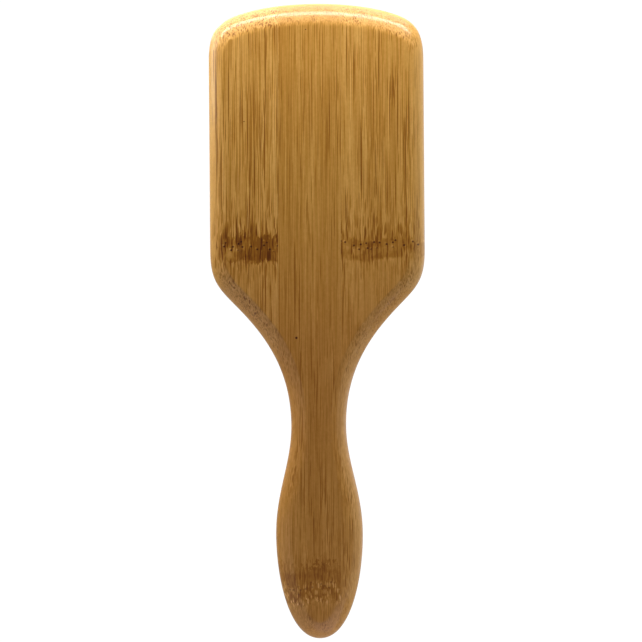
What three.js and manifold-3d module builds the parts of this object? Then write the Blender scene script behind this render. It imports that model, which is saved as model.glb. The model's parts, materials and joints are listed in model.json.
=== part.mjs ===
// Paddle brush with a laminated bamboo paddle, a rubber air cushion and bamboo pins.
// Frame: millimetres, +Z from the handle tip to the crown of the head, +Y the way the pins point,
// so the plain back faces -Y. The origin is inside the grip, where a hand holds the handle.

import * as THREE from 'three';
import { mergeVertices } from 'three/addons/utils/BufferGeometryUtils.js';
import Module from 'manifold-3d';

const wasm = await Module();
wasm.setup();

// ---- driving dimensions -------------------------------------------------------------------

const LENGTH = 250; // handle tip to crown
const CROWN_TO_GRIP = 209; // crown to the widest part of the grip, where the origin is
const HEAD_HALF_WIDTH = 42.3;
const NECK_HALF_WIDTH = 10.8;
const GRIP_HALF_WIDTH = 17.1;
const THICKNESS = 15; // the two plies of the paddle together
const EDGE_WIDTH = 7.6; // how far the rounded edge reaches in over each face
const EDGE_DEPTH = 6.6; // and how far it reaches down each side

const GLUE_LINE = 0.3; // gap between neighbouring strips and between the two plies
const STRIP_WIDTH = 24.6; // width of the middle strip of a ply
const STRIP_SHIFT = 3.9; // how far a ply's middle strip lies off the centre line
const GRAIN_SKEW = THREE.MathUtils.degToRad(0.4); // the grain's small lean from the brush's axis
const HEAD_STRIP_END = 60; // the outermost strip of the head has run out of wood above this height

const CUSHION_HALF_WIDTH = 32; // of the opening in the front ply
const CUSHION_TOP = 11; // crown to the opening's upper end
const CUSHION_LENGTH = 96;
const CUSHION_CORNER = 17;
const CUSHION_END_RADIUS = 130; // the opening's ends bow outwards like the crown
const POCKET_FLOOR = 1.5; // wood left under the pocket
const GROOVE_DEPTH = 1.6; // undercut that holds the cushion's flange
const GROOVE_LOW = 2.6;
const GROOVE_HIGH = 5;

const FIT_GAP = 0.3; // clearance all round the cushion's flange and skirt
const RUBBER = 1.8; // thickness of the cushion
const DOME_RISE = 5.3; // how far the cushion bulges out of its rim
const DOME_SHOULDER = 11; // width of the curved band between the rim and the flat of the dome
const VENT_RADIUS = 1;
const PIN_HOLE_RADIUS = 1.75;

const PIN_ROWS = 9;
const ROW_PITCH = 9.5;
const PIN_PITCH = 10;
const PINS_IN_ODD_ROW = 5;
const PINS_IN_EVEN_ROW = 6;
const PIN_LENGTH = 18; // from the cushion to the tip
const PIN_BASE_RADIUS = 1.35;
const PIN_NECK_RADIUS = 0.95;
const PIN_TIP_RADIUS = 1.3;
const PIN_HEAD_RADIUS = 2.3;
const PIN_HEAD_THICKNESS = 0.9;
const PIN_HEAD_GAP = 0.5; // between a pin's head and the underside of the rubber
const PIN_SPLAY = THREE.MathUtils.degToRad(0.12); // outward lean for each mm from the middle

const OUTLINE_STEPS = 8; // segments on each curve of the paddle's outline
const EDGE_STEPS = 3; // rings on a rounded edge
const ROUND_SIDES = 8; // sides of a pin or of a hole

const CROWN = CROWN_TO_GRIP;
const FRONT = THICKNESS / 2;
const CUSHION_MIDDLE = CROWN - CUSHION_TOP - CUSHION_LENGTH / 2;
const DOME_TOP = FRONT - FIT_GAP + DOME_RISE;
const FAR = 2 * LENGTH; // beyond every part of the brush

// ---- materials ----------------------------------------------------------------------------

function material(color, roughness) {
  return new THREE.MeshStandardMaterial({ color, roughness, metalness: 0 });
}

const backBamboo = material(0xa9783a, 0.4);
const frontBamboo = material(0xb58443, 0.4);
const rubber = material(0x1d1c1b, 0.6);
const pinBamboo = material(0xc99a5a, 0.5);

// ---- solids -------------------------------------------------------------------------------

function solidOf(geometry) {
  const bare = geometry.clone();
  bare.deleteAttribute('normal');
  bare.deleteAttribute('uv');
  const merged = mergeVertices(bare, 1e-4);
  return new wasm.Manifold(new wasm.Mesh({
    numProp: 3,
    vertProperties: new Float32Array(merged.attributes.position.array),
    triVerts: new Uint32Array(merged.index.array),
  }));
}

function geometryOf(solid) {
  const mesh = solid.getMesh();
  const geometry = new THREE.BufferGeometry();
  geometry.setAttribute('position', new THREE.BufferAttribute(mesh.vertProperties, 3));
  geometry.setIndex(new THREE.BufferAttribute(mesh.triVerts, 1));
  geometry.computeVertexNormals();
  return geometry;
}

function meshOf(name, geometry, finish) {
  const mesh = new THREE.Mesh(geometry, finish);
  mesh.name = name;
  return mesh;
}

// A slab between two heights along Y, from an outline drawn in X and Z. A rounded slab has a
// quarter-ellipse edge, edge.width by edge.depth, on both faces.
function slab(outline, low, high, edge = { width: 0, depth: 0 }) {
  const geometry = new THREE.ExtrudeGeometry(outline, {
    depth: high - low - 2 * edge.depth,
    curveSegments: OUTLINE_STEPS,
    bevelEnabled: edge.depth > 0,
    bevelThickness: edge.depth,
    bevelSize: edge.width,
    bevelOffset: -edge.width,
    bevelSegments: EDGE_STEPS,
  });
  geometry.rotateX(Math.PI / 2);
  geometry.translate(0, high - edge.depth, 0);
  return solidOf(geometry);
}

function box(low, high) {
  const geometry = new THREE.BoxGeometry(high.x - low.x, high.y - low.y, high.z - low.z);
  geometry.translate((low.x + high.x) / 2, (low.y + high.y) / 2, (low.z + high.z) / 2);
  return geometry;
}

// ---- paddle -------------------------------------------------------------------------------

// One half of the outline, from the crown down to the handle tip, as cubic curves. Each entry is
// the two control points and the end point, as distance from the axis and distance below the
// crown. The stretch with a single point is the head's straight side.
const HALF_OUTLINE = [
  [[11, 0], [21.5, 1.2], [30, 3.9]],
  [[38.1, 6.5], [HEAD_HALF_WIDTH, 10], [HEAD_HALF_WIDTH, 22]],
  [[HEAD_HALF_WIDTH, 97]],
  [[HEAD_HALF_WIDTH, 108.5], [39.4, 111.6], [32.5, 118.6]],
  [[22, 129.3], [NECK_HALF_WIDTH, 143], [NECK_HALF_WIDTH, 166]],
  [[NECK_HALF_WIDTH, 181], [GRIP_HALF_WIDTH, 192], [GRIP_HALF_WIDTH, CROWN_TO_GRIP]],
  [[GRIP_HALF_WIDTH, 225.5], [12.5, LENGTH], [0, LENGTH]],
];

function curveThrough(shape, points) {
  const flat = points.flatMap(([x, below]) => [x, CROWN - below]);
  if (points.length === 1) {
    shape.lineTo(...flat);
  } else {
    shape.bezierCurveTo(...flat);
  }
}

function paddleOutline() {
  const shape = new THREE.Shape();
  shape.moveTo(0, CROWN);
  for (const points of HALF_OUTLINE) {
    curveThrough(shape, points);
  }
  for (let n = HALF_OUTLINE.length - 1; n >= 0; n -= 1) {
    const start = n > 0 ? HALF_OUTLINE[n - 1].at(-1) : [0, 0];
    const controls = HALF_OUTLINE[n].slice(0, -1).reverse();
    const mirrored = [...controls, start].map(([x, below]) => [-x, below]);
    curveThrough(shape, mirrored);
  }
  return shape;
}

// The cushion's opening, grown by a margin: straight sides, bowed ends and round corners, each
// arc meeting the next along a shared tangent.
const corner = {
  x: CUSHION_HALF_WIDTH - CUSHION_CORNER,
  endCentre: CUSHION_LENGTH / 2 - CUSHION_END_RADIUS,
};
corner.z = corner.endCentre + Math.sqrt(
  (CUSHION_END_RADIUS - CUSHION_CORNER) ** 2 - corner.x ** 2,
);
const END_HALF_ANGLE = Math.atan2(corner.x, corner.z - corner.endCentre);

function cushionOutline(margin) {
  const shape = new THREE.Shape();
  const round = CUSHION_CORNER + margin;
  const bow = CUSHION_END_RADIUS + margin;
  const up = Math.PI / 2;
  const lean = END_HALF_ANGLE;
  const above = (height) => CUSHION_MIDDLE + height;
  shape.absarc(corner.x, above(corner.z), round, 0, up - lean);
  shape.absarc(0, above(corner.endCentre), bow, up - lean, up + lean);
  shape.absarc(-corner.x, above(corner.z), round, up + lean, 2 * up);
  shape.absarc(-corner.x, above(-corner.z), round, 2 * up, 3 * up - lean);
  shape.absarc(0, above(-corner.endCentre), bow, 3 * up - lean, 3 * up + lean);
  shape.absarc(corner.x, above(-corner.z), round, 3 * up + lean, 4 * up);
  return shape;
}

// Cuts one strip out of a ply: the wood between two distances from the axis, followed along the
// grain, and between two heights.
function stripCutter(fromX, toX, side, lowest = -FAR, highest = FAR) {
  const gap = GLUE_LINE / 2;
  const near = side > 0 ? gap : -FAR;
  const far = side > 0 ? FAR : -gap;
  const geometry = box(
    new THREE.Vector3(fromX + gap, near, lowest),
    new THREE.Vector3(toX - gap, far, highest),
  );
  geometry.rotateY(GRAIN_SKEW);
  return solidOf(geometry);
}

// The three strips of one ply. side is -1 for the back ply and +1 for the front ply, whose seams
// are staggered against the back's. The strip on the ply's short side ends in the head, where the
// paddle narrows, and below it the middle strip reaches the edge.
function plyStrips(paddle, side) {
  const shortSeam = side * (STRIP_SHIFT + STRIP_WIDTH / 2);
  const longSeam = side * (STRIP_SHIFT - STRIP_WIDTH / 2);
  const ordered = (a, b) => [Math.min(a, b), Math.max(a, b)];
  const short = stripCutter(...ordered(shortSeam, side * FAR), side, HEAD_STRIP_END);
  const middle = stripCutter(...ordered(longSeam, shortSeam), side)
    .add(stripCutter(...ordered(longSeam, side * FAR), side, -FAR, HEAD_STRIP_END));
  const long = stripCutter(...ordered(longSeam, -side * FAR), side);
  const [left, right] = side < 0 ? [short, long] : [long, short];
  return {
    left: paddle.intersect(left),
    centre: paddle.intersect(middle),
    right: paddle.intersect(right),
  };
}

function makePaddle() {
  const edge = { width: EDGE_WIDTH, depth: EDGE_DEPTH };
  const blank = slab(paddleOutline(), -FRONT, FRONT, edge);
  const pocket = slab(cushionOutline(0), POCKET_FLOOR, THICKNESS)
    .add(slab(cushionOutline(GROOVE_DEPTH), GROOVE_LOW, GROOVE_HIGH));
  const meshes = [];
  for (const [place, strip] of Object.entries(plyStrips(blank, -1))) {
    meshes.push(meshOf(`back_strip_${place}`, geometryOf(strip), backBamboo));
  }
  for (const [place, strip] of Object.entries(plyStrips(blank, 1))) {
    const carved = strip.subtract(pocket);
    meshes.push(meshOf(`front_strip_${place}`, geometryOf(carved), frontBamboo));
  }
  return meshes;
}

// ---- cushion ------------------------------------------------------------------------------

// Distance from a point on the cushion in to the opening's rim.
function insetFromRim(x, z) {
  const across = Math.abs(x);
  const along = Math.abs(z - CUSHION_MIDDLE);
  const turn = Math.atan2(across - corner.x, along - corner.z);
  if (across > corner.x && turn > END_HALF_ANGLE && along > corner.z) {
    return CUSHION_CORNER - Math.hypot(across - corner.x, along - corner.z);
  }
  const fromEnd = CUSHION_END_RADIUS - Math.hypot(across, along - corner.endCentre);
  return Math.min(CUSHION_HALF_WIDTH - across, fromEnd);
}

// Height of the dome's outer skin, or of its underside where depth is the rubber's thickness, at
// a distance in from the rim.
function domeHeight(inset, depth = 0) {
  const share = Math.min((inset - FIT_GAP - depth) / DOME_SHOULDER, 1);
  return DOME_TOP - depth - DOME_RISE * (1 - Math.sqrt(1 - (1 - share) ** 2));
}

function pinPlaces() {
  const places = [];
  for (let row = 1; row <= PIN_ROWS; row += 1) {
    const count = row % 2 === 1 ? PINS_IN_ODD_ROW : PINS_IN_EVEN_ROW;
    for (let n = 1; n <= count; n += 1) {
      places.push({
        name: `pin_r${row}_c${n}`,
        x: (n - (count + 1) / 2) * PIN_PITCH,
        z: CUSHION_MIDDLE + ((PIN_ROWS + 1) / 2 - row) * ROW_PITCH,
      });
    }
  }
  return places;
}

function hole(x, z, radius) {
  const geometry = new THREE.CylinderGeometry(radius, radius, THICKNESS, ROUND_SIDES);
  geometry.translate(x, DOME_TOP, z);
  return solidOf(geometry);
}

function makeCushion(places) {
  const flangeLow = GROOVE_LOW + FIT_GAP;
  const flangeHigh = GROOVE_HIGH - FIT_GAP;
  const dome = { width: DOME_SHOULDER, depth: DOME_RISE };
  const skin = slab(cushionOutline(-FIT_GAP), -THICKNESS, DOME_TOP, dome);
  const air = slab(cushionOutline(-FIT_GAP - RUBBER), -THICKNESS, DOME_TOP - RUBBER, dome);
  const flange = slab(cushionOutline(GROOVE_DEPTH - FIT_GAP), flangeLow, flangeHigh);
  const below = solidOf(box(
    new THREE.Vector3(-FAR, -FAR, -FAR),
    new THREE.Vector3(FAR, flangeLow, FAR),
  ));
  let cushion = skin.add(flange).subtract(air).subtract(below);
  for (const place of places) {
    cushion = cushion.subtract(hole(place.x, place.z, PIN_HOLE_RADIUS));
  }
  cushion = cushion.subtract(hole(PIN_PITCH / 2, CUSHION_MIDDLE, VENT_RADIUS));
  return meshOf('cushion', geometryOf(cushion), rubber);
}

// ---- pins ---------------------------------------------------------------------------------

// A pin with its origin where it comes out of the rubber: the mushroom head lies under the
// rubber, and the tapered shaft ends in a rounded tip.
function pinGeometry(headTop) {
  const headBottom = headTop - PIN_HEAD_THICKNESS;
  const tipCentre = PIN_LENGTH - PIN_TIP_RADIUS;
  const tip = (degrees) => {
    const angle = THREE.MathUtils.degToRad(degrees);
    return [PIN_TIP_RADIUS * Math.cos(angle), tipCentre + PIN_TIP_RADIUS * Math.sin(angle)];
  };
  const profile = [
    [0, headBottom],
    [PIN_HEAD_RADIUS, headBottom],
    [PIN_HEAD_RADIUS, headTop],
    [PIN_BASE_RADIUS, headTop + 0.5],
    [PIN_BASE_RADIUS, 0.5],
    [PIN_NECK_RADIUS, tipCentre - 1.3],
    tip(-20),
    tip(20),
    tip(55),
    [0, PIN_LENGTH],
  ];
  const points = profile.map(([radius, height]) => new THREE.Vector2(radius, height));
  return new THREE.LatheGeometry(points, ROUND_SIDES);
}

function makePins(places) {
  return places.map((place) => {
    const inset = insetFromRim(place.x, place.z);
    const skin = domeHeight(inset);
    const underside = domeHeight(inset - PIN_HEAD_RADIUS, RUBBER);
    const headTop = underside - PIN_HEAD_GAP - skin;
    const pin = meshOf(place.name, pinGeometry(headTop), pinBamboo);
    const leanAlong = (place.z - CUSHION_MIDDLE) * PIN_SPLAY;
    const leanAcross = place.x * PIN_SPLAY;
    pin.position.set(place.x, skin, place.z);
    pin.rotation.set(leanAlong, 0, -leanAcross);
    return pin;
  });
}

// ---- assembly -----------------------------------------------------------------------------

const brush = new THREE.Group();
const places = pinPlaces();
brush.add(...makePaddle());
brush.add(makeCushion(places));
brush.add(...makePins(places));

export default brush;
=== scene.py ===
"""A bamboo paddle brush, seen from behind: laminated paddle, rubber cushion and bamboo pins.

Lengths are in metres. Millimetres are used instead where a name ends in _MM, and in the tables and
the materials that say so. Distances "below" are measured down from the crown of the head. The brush
stands along Z with its plain back towards -Y.
"""

import json
import math

import bpy
from mathutils import Matrix, Vector


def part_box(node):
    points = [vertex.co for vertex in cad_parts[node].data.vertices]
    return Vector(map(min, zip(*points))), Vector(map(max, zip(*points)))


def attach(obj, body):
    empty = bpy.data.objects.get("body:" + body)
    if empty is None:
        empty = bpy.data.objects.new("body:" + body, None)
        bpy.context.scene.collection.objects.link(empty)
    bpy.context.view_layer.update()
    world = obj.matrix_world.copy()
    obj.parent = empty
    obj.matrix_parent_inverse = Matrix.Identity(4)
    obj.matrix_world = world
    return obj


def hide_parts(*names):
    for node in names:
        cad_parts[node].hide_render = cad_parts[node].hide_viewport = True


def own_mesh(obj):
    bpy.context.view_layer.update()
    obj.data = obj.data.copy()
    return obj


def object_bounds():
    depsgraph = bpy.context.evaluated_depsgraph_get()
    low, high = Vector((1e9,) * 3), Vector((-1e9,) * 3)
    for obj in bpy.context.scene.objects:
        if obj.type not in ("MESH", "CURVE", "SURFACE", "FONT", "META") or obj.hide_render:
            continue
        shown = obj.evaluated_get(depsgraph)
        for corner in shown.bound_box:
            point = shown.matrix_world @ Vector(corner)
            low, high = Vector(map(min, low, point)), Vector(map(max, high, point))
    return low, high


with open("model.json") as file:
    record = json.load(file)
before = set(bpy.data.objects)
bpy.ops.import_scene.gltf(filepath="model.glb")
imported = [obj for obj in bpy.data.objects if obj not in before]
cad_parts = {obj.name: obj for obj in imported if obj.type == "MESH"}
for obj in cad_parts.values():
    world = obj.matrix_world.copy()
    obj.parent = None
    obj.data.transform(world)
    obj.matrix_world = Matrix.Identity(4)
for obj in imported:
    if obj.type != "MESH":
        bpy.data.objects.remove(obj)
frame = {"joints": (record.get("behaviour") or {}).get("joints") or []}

MM = 0.001
cad_low, cad_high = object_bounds()
paddle_low, paddle_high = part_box("back_strip_centre")
front_ply_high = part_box("front_strip_centre")[1]
cushion_low, cushion_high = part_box("cushion")

CROWN = paddle_high.z
TIP = paddle_low.z
BACK = paddle_low.y
FRONT = front_ply_high.y


# ---- mesh helpers -------------------------------------------------------------------------


def mesh_object(name, vertices, faces):
    """A new smooth-shaded mesh object at the origin."""
    mesh = bpy.data.meshes.new(name)
    mesh.from_pydata([tuple(v) for v in vertices], [], faces)
    mesh.validate()
    mesh.polygons.foreach_set("use_smooth", [True] * len(mesh.polygons))
    obj = bpy.data.objects.new(name, mesh)
    bpy.context.scene.collection.objects.link(obj)
    return obj


def baked(obj):
    """Applies an object's modifiers to its mesh."""
    graph = bpy.context.evaluated_depsgraph_get()
    mesh = bpy.data.meshes.new_from_object(obj.evaluated_get(graph), depsgraph=graph)
    obj.modifiers.clear()
    obj.data = mesh
    return obj


def carve(obj, cutter, operation):
    """Joins or cuts obj with a closed cutter: INTERSECT, DIFFERENCE or UNION."""
    modifier = obj.modifiers.new("carve", "BOOLEAN")
    modifier.operation = operation
    modifier.solver = "EXACT"
    modifier.object = cutter
    return baked(obj)


def copy_of(obj, name):
    """A second object with a mesh of its own."""
    twin = bpy.data.objects.new(name, obj.data.copy())
    bpy.context.scene.collection.objects.link(twin)
    return twin


def discard(*objs):
    """Takes helper objects out of the scene."""
    for obj in objs:
        bpy.data.objects.remove(obj)


def finish_edges(obj, degrees):
    """Keeps edges sharper than an angle crisp in the smooth shading."""
    obj.data.polygons.foreach_set("use_smooth", [True] * len(obj.data.polygons))
    obj.data.set_sharp_from_angle(angle=math.radians(degrees))


def ring_faces(rings, count):
    """Quads between successive closed rings of count points each."""
    faces = []
    for ring in range(rings - 1):
        for n in range(count):
            here, after = ring * count + n, ring * count + (n + 1) % count
            faces.append((here, after, after + count, here + count))
    return faces


def smoothstep(low, high, value):
    """A smooth step from 0 to 1 as value goes from low to high."""
    share = min(max((value - low) / (high - low), 0), 1)
    return share * share * (3 - 2 * share)


# ---- the paddle's shape -------------------------------------------------------------------

HALF_WIDTH_MM = cad_high.x / MM
NECK_MM = 10.8
GRIP_MM = 17.1
GRIP_BELOW_MM = CROWN / MM
LENGTH_MM = (CROWN - TIP) / MM

# One half of the outline from the crown down to the handle tip: control points and end point of
# each cubic curve, as millimetres from the axis and below the crown, and its number of segments.
HALF_OUTLINE = [
    ([(11, 0), (21.5, 1.2), (30, 3.9)], 20),
    ([(38.1, 6.5), (HALF_WIDTH_MM, 10), (HALF_WIDTH_MM, 22)], 22),
    ([(HALF_WIDTH_MM, 47), (HALF_WIDTH_MM, 72), (HALF_WIDTH_MM, 97)], 16),
    ([(HALF_WIDTH_MM, 108.5), (39.4, 111.6), (32.5, 118.6)], 18),
    ([(22, 129.3), (NECK_MM, 143), (NECK_MM, 166)], 30),
    ([(NECK_MM, 181), (GRIP_MM, 192), (GRIP_MM, GRIP_BELOW_MM)], 24),
    ([(GRIP_MM, 225.5), (12.5, LENGTH_MM), (0, LENGTH_MM)], 36),
]

# The rounded edge: in millimetres how far it reaches in, in degrees where on its ellipse it leaves
# the flat face, and in millimetres half the width over which its crease is eased. The other places
# add theirs to what the sides have.
EDGES = {
    "sides": (6.2, 22, 0.3),
    "crown": (2.4, 23, 0.8),
    "shoulders": (0.3, 16, 0),
    "grip": (0.6, 0, 0.5),
}
# Where one place gives way to the next, in millimetres below the crown.
CROWN_ENDS_MM = (5, 20)
SHOULDERS_START_MM = (92, 112)
SHOULDERS_END_MM = (135, 165)
GRIP_STARTS_MM = (165, 205)

EDGE_DEPTH = 7.3 * MM
EDGE_RINGS = 12
EASE_RINGS = 4
SHARP_WOOD = 30  # the angle in degrees above which an edge of the wood stays crisp

GRAIN_SKEW = math.radians(0.4)
STRIP_WIDTH = 24.6 * MM
STRIP_SHIFT = 3.9 * MM
HEAD_STRIP_END = 60 * MM
GLUE_LINE = 0.03 * MM
FAR = 1.0


def cubic(start, curve, share):
    """Point and direction on a cubic curve."""
    a, b, c, d = (Vector(p) for p in (start, *curve))
    left = 1 - share
    point = left**3 * a + 3 * left**2 * share * b + 3 * left * share**2 * c + share**3 * d
    along = left**2 * (b - a) + 2 * left * share * (c - b) + share**2 * (d - c)
    return point, along.normalized()


def half_outline():
    """[(point, inward normal)] down the right side, in X and Z, without the two end points."""
    found, start = [], (0, 0)
    for curve, steps in HALF_OUTLINE:
        for n in range(1, steps + 1):
            point, along = cubic(start, curve, n / steps)
            place = Vector((point.x * MM, CROWN - point.y * MM))
            found.append((place, Vector((-along.y, -along.x))))
        start = curve[-1]
    return found[:-1]


def edge_shape(height):
    """The rounded edge at one height, as EDGES gives it: widest and softest at the crown, turning
    gently along the sides, with a clear crease at the shoulders."""
    below = (CROWN - height) / MM
    shares = {
        "sides": 1,
        "crown": 1 - smoothstep(*CROWN_ENDS_MM, below),
        "shoulders": smoothstep(*SHOULDERS_START_MM, below) * (1 - smoothstep(*SHOULDERS_END_MM, below)),
        "grip": smoothstep(*GRIP_STARTS_MM, below),
    }
    width, start, ease = (sum(EDGES[place][n] * shares[place] for place in EDGES) for n in range(3))
    return width * MM, math.radians(start), ease * MM


def edge_profile(width, start, ease):
    """[(inset, depth)] from the flat face out to the side: a parabola eases the flat into an
    ellipse."""
    joint = math.asin(1 - (1 - math.sin(start)) * (width - ease) / width)
    joint_depth = EDGE_DEPTH * (1 - math.cos(joint) / math.cos(start))
    rings = []
    for n in range(EASE_RINGS):
        share = n / EASE_RINGS
        rings.append((width + ease - 2 * ease * share, joint_depth * share**2))
    for n in range(EDGE_RINGS + 1):
        angle = joint + (math.pi / 2 - joint) * n / EDGE_RINGS
        inset = width * (1 - math.sin(angle)) / (1 - math.sin(start))
        rings.append((inset, EDGE_DEPTH * (1 - math.cos(angle) / math.cos(start))))
    return rings


def make_blank():
    """The whole paddle as one closed mesh, before it is split into strips."""
    right = half_outline()
    top = (Vector((0, CROWN)), Vector((0, -1)))
    bottom = (Vector((0, TIP)), Vector((0, 1)))
    left = [(Vector((-p.x, p.y)), Vector((-n.x, n.y))) for p, n in reversed(right)]
    loop = [top, *right, bottom, *left]
    count = len(loop)
    profiles = [edge_profile(*edge_shape(p.y)) for p, _ in loop]
    rings = len(profiles[0])
    vertices = []
    for side, order in ((BACK, range(rings)), (FRONT, reversed(range(rings)))):
        inward = 1 if side == BACK else -1
        for ring in order:
            for (place, normal), profile in zip(loop, profiles, strict=True):
                inset, depth = profile[ring]
                spot = place + normal * inset
                vertices.append((spot.x, side + inward * depth, spot.y))
    faces = ring_faces(2 * rings, count)
    last = (2 * rings - 1) * count
    for n in range(count // 2):
        pair = (n, n + 1, (count - n - 1) % count, (count - n) % count)
        unique = tuple(dict.fromkeys(pair))
        faces.append(tuple(reversed(unique)))
        faces.append(tuple(last + v for v in unique))
    return mesh_object("blank", vertices, faces)


def box_object(name, low, high):
    """A closed box between two corners."""
    ends = list(zip(low, high, strict=True))
    corners = [(x, y, z) for x in ends[0] for y in ends[1] for z in ends[2]]
    faces = [(0, 1, 3, 2), (4, 6, 7, 5), (0, 4, 5, 1), (2, 3, 7, 6), (0, 2, 6, 4), (1, 5, 7, 3)]
    return mesh_object(name, corners, faces)


def strip_cutter(from_x, to_x, side, lowest=-FAR, highest=FAR):
    """The space of one strip: from one distance from the axis to another, turned with the grain."""
    gap = GLUE_LINE / 2
    near, far = (gap, FAR) if side > 0 else (-FAR, -gap)
    cutter = box_object("cutter", (from_x + gap, near, lowest), (to_x - gap, far, highest))
    cutter.data.transform(Matrix.Rotation(GRAIN_SKEW, 4, "Y"))
    return cutter


def ply_cutters(side):
    """The three cutters of one ply, as in the CAD: side is -1 for the back and 1 for the front."""
    short_seam = side * (STRIP_SHIFT + STRIP_WIDTH / 2)
    long_seam = side * (STRIP_SHIFT - STRIP_WIDTH / 2)
    short = strip_cutter(*sorted((short_seam, side * FAR)), side, HEAD_STRIP_END)
    middle = strip_cutter(*sorted((long_seam, short_seam)), side)
    handle = strip_cutter(*sorted((long_seam, side * FAR)), side, -FAR, HEAD_STRIP_END)
    carve(middle, handle, "UNION")
    discard(handle)
    long = strip_cutter(*sorted((long_seam, -side * FAR)), side)
    left, right = (short, long) if side < 0 else (long, short)
    return {"left": left, "centre": middle, "right": right}


# ---- the cushion's opening ----------------------------------------------------------------

OPENING_HALF_WIDTH = 32 * MM
OPENING_LENGTH = 96 * MM
OPENING_CORNER = 17 * MM
OPENING_END_RADIUS = 130 * MM
OPENING_MIDDLE = (cushion_low.z + cushion_high.z) / 2
POCKET_FLOOR = 1.5 * MM
GROOVE_DEPTH = 1.6 * MM
GROOVE_LOW = 2.6 * MM
GROOVE_HIGH = 5.0 * MM
RIM_RADIUS = 0.6 * MM
RIM_ANGLES = (0, 30, 60, 90)
POCKET_CLEARANCE = 2 * MM  # how far the cutter reaches out of the wood
POCKET_STEPS = (14, 20)  # in a quarter of the outline, across and along

corner_x = OPENING_HALF_WIDTH - OPENING_CORNER
end_centre = OPENING_LENGTH / 2 - OPENING_END_RADIUS
corner_z = end_centre + math.sqrt((OPENING_END_RADIUS - OPENING_CORNER) ** 2 - corner_x**2)
end_half_angle = math.atan2(corner_x, corner_z - end_centre)


def opening_quarter(across, along):
    """[(point, outward normal)] over a quarter of the opening's outline, in `along` steps from the
    middle of its side to its corner and in `across` steps on to the middle of its end, which is
    returned by itself."""
    corner_angle = math.pi / 2 - end_half_angle
    half_corner = OPENING_CORNER * corner_angle / 2
    end_length = OPENING_END_RADIUS * end_half_angle
    found = []

    def on_side(length):
        if length < corner_z:
            return Vector((OPENING_HALF_WIDTH, length)), Vector((1, 0))
        angle = (length - corner_z) / OPENING_CORNER
        normal = Vector((math.cos(angle), math.sin(angle)))
        return Vector((corner_x, corner_z)) + normal * OPENING_CORNER, normal

    def on_end(length):
        if length < half_corner:
            angle = corner_angle / 2 + length / OPENING_CORNER
            normal = Vector((math.cos(angle), math.sin(angle)))
            return Vector((corner_x, corner_z)) + normal * OPENING_CORNER, normal
        angle = corner_angle + (length - half_corner) / OPENING_END_RADIUS
        normal = Vector((math.cos(angle), math.sin(angle)))
        return Vector((0, end_centre)) + normal * OPENING_END_RADIUS, normal

    for n in range(along):
        found.append(on_side((corner_z + half_corner) * n / along))
    for n in range(across):
        found.append(on_end((half_corner + end_length) * n / across))
    return found, on_end(half_corner + end_length)


def opening_loop(across, along):
    """The whole outline, counted from the middle of the right side towards the crown."""
    quarter, end_middle = opening_quarter(across, along)

    def mirrored(entry, x, z):
        return tuple(Vector((v.x * x, v.y * z)) for v in entry)

    up_left = [mirrored(e, -1, 1) for e in reversed(quarter[1:])]
    side_left = [mirrored(quarter[0], -1, 1)]
    down_left = [mirrored(e, -1, -1) for e in quarter[1:]]
    down_right = [mirrored(e, 1, -1) for e in reversed(quarter[1:])]
    bottom = [mirrored(end_middle, 1, -1)]
    return [*quarter, end_middle, *up_left, *side_left, *down_left, *bottom, *down_right]


def opening_ring(loop, margin, height):
    """The outline moved outwards by a margin, at a height along Y."""
    ring = []
    for place, normal in loop:
        spot = place + normal * margin
        ring.append((spot.x, height, OPENING_MIDDLE + spot.y))
    return ring


def make_pocket():
    """The cutter that opens the front ply: a rounded rim, a wall with its groove, and a floor."""
    loop = opening_loop(*POCKET_STEPS)
    levels = [(RIM_RADIUS, FRONT + POCKET_CLEARANCE)]
    for degrees in RIM_ANGLES:
        angle = math.radians(degrees)
        rim = RIM_RADIUS * (1 - math.sin(angle))
        levels.append((rim, FRONT - RIM_RADIUS * (1 - math.cos(angle))))
    levels += [(0, GROOVE_HIGH), (GROOVE_DEPTH, GROOVE_HIGH)]
    levels += [(GROOVE_DEPTH, GROOVE_LOW), (0, GROOVE_LOW), (0, POCKET_FLOOR)]
    vertices = [v for margin, height in levels for v in opening_ring(loop, margin, height)]
    count = len(loop)
    faces = ring_faces(len(levels), count)
    faces.append(tuple(reversed(range(count))))
    faces.append(tuple(range((len(levels) - 1) * count, len(levels) * count)))
    return mesh_object("pocket", vertices, faces)


def make_paddle():
    """The six strips, as {CAD node: object}."""
    blank, pocket = make_blank(), make_pocket()
    strips = {}
    for ply, side in (("back", -1), ("front", 1)):
        for place, cutter in ply_cutters(side).items():
            name = f"{ply}_strip_{place}"
            strip = carve(copy_of(blank, f"{name}_wood"), cutter, "INTERSECT")
            if side > 0:
                carve(strip, pocket, "DIFFERENCE")
            discard(cutter)
            finish_edges(strip, SHARP_WOOD)
            strips[name] = strip
    discard(blank, pocket)
    return strips


# ---- the cushion --------------------------------------------------------------------------

FIT_GAP = 0.3 * MM
RUBBER = 1.8 * MM
DOME_TOP = cushion_high.y
DOME_RISE = DOME_TOP - (FRONT - FIT_GAP)
DOME_SHOULDER = 11 * MM
DOME_CROWN = 0.6 * MM  # the flat of the dome is itself slightly crowned
DOME_RINGS = 44
UNDERSIDE_RINGS = 22
DOME_CLOSED = 0.985  # how far towards the middle line the rings of the dome reach
DOME_SPACING = 1.7  # above 1, the rings crowd at the rim
FLANGE_ROUNDING = 0.4 * MM
CUSHION_STEPS = (26, 34)  # in a quarter of the outline, across and along
SHARP_RUBBER = 34  # the same for the rubber
PIN_HOLE_RADIUS_MM = 1.8
COLLAR_RADIUS_MM = 2.8
COLLAR_HEIGHT_MM = 0.6
VENT_RADIUS = 0.9 * MM
BORE_REACH = 4 * MM  # how far each way from the skin a hole's cutter goes
HOLE_SIDES = 32
VENT_SIDES = 24
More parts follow.
